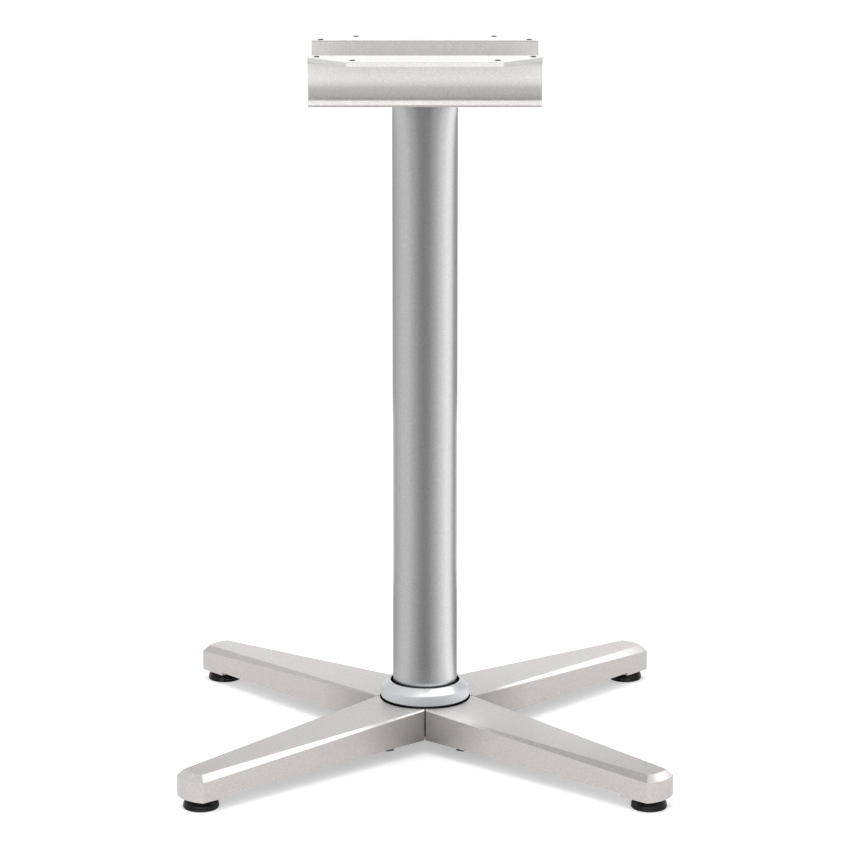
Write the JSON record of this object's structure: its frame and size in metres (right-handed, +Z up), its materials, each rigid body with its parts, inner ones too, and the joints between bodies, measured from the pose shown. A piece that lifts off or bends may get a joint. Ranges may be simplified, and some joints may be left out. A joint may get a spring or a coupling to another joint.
{
  "type": "four star table base",
  "caption": "Pedestal table base with tapered star legs, round column, levelling glides and a flanged channel bracket for the table top.",
  "frame": {"origin": "on the floor, under the middle of the column", "axes": "+Z up the column; the bracket channel runs along X and the legs lie on the diagonals"},
  "size_m": [0.4806, 0.4806, 0.7112],
  "materials": {
    "leg_paint": "satin metallic silver, fine sandy texture",
    "bracket_paint": "satin metallic silver, fine sandy texture",
    "column_paint": "satin metallic silver, fine grain",
    "collar_plastic": "smooth, light grey",
    "glide_plastic": "glossy black moulding",
    "black_steel": "black coated steel",
    "zinc_steel": "bright zinc plate"
  },
  "bodies": {
    "base": {"leg_front_left": "leg_paint", "leg_front_right": "leg_paint", "leg_rear_left": "leg_paint", "leg_rear_right": "leg_paint", "hub_plate": "black_steel", "hub_bolts": "black_steel", "hub_lock_washers": "black_steel", "centre_bolt": "zinc_steel", "centre_washer": "zinc_steel", "column_foot": "zinc_steel", "column_tube": "column_paint", "trim_collar": "collar_plastic", "top_plate": "bracket_paint", "table_bracket": "bracket_paint", "bracket_bolts": "zinc_steel", "bracket_washers": "zinc_steel"},
    "glide_front_left": {"glide_pad_front_left": "glide_plastic", "glide_stud_front_left": "zinc_steel"},
    "glide_front_right": {"glide_pad_front_right": "glide_plastic", "glide_stud_front_right": "zinc_steel"},
    "glide_rear_left": {"glide_pad_rear_left": "glide_plastic", "glide_stud_rear_left": "zinc_steel"},
    "glide_rear_right": {"glide_pad_rear_right": "glide_plastic", "glide_stud_rear_right": "zinc_steel"}
  },
  "joints": [
    {"name": "glide_front_left_level", "type": "slide", "parent": "base", "child": "glide_front_left", "axis": [0, 0, -1], "range_m": [0, 0.01]},
    {"name": "glide_front_right_level", "type": "slide", "parent": "base", "child": "glide_front_right", "axis": [0, 0, -1], "range_m": [0, 0.01]},
    {"name": "glide_rear_left_level", "type": "slide", "parent": "base", "child": "glide_rear_left", "axis": [0, 0, -1], "range_m": [0, 0.01]},
    {"name": "glide_rear_right_level", "type": "slide", "parent": "base", "child": "glide_rear_right", "axis": [0, 0, -1], "range_m": [0, 0.01]}
  ]
}
